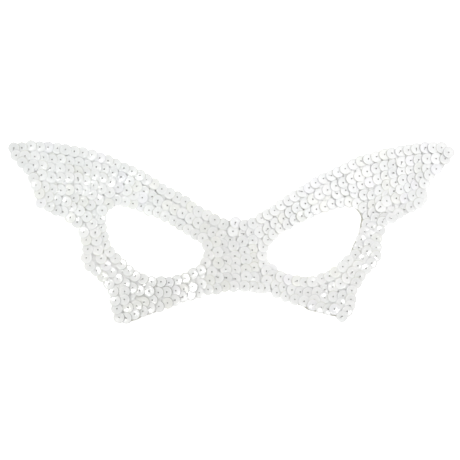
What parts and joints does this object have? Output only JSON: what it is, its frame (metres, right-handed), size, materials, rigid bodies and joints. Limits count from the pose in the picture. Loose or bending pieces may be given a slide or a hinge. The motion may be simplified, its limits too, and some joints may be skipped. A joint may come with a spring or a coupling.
{
  "type": "sequin bat mask",
  "caption": "Half mask cut as a bat's spread wings, covered in white sequins on a felt backing, with eye holes and a fold over the nose.",
  "frame": {"origin": "centre of the mask's bounding box, on the surface that it lies on", "axes": "+X along the width to the wing that is at the right seen from the front, +Y towards the brow, +Z out of the sequined face"},
  "size_m": [0.2266, 0.0924, 0.0116],
  "materials": {
    "felt": "matte pressed felt, cream",
    "sequins": "pearly white cupped sequins sewn on white net"
  },
  "bodies": {
    "root": {"backing": "felt", "sequins_left": "sequins", "sequins_right": "sequins"}
  },
  "joints": []
}
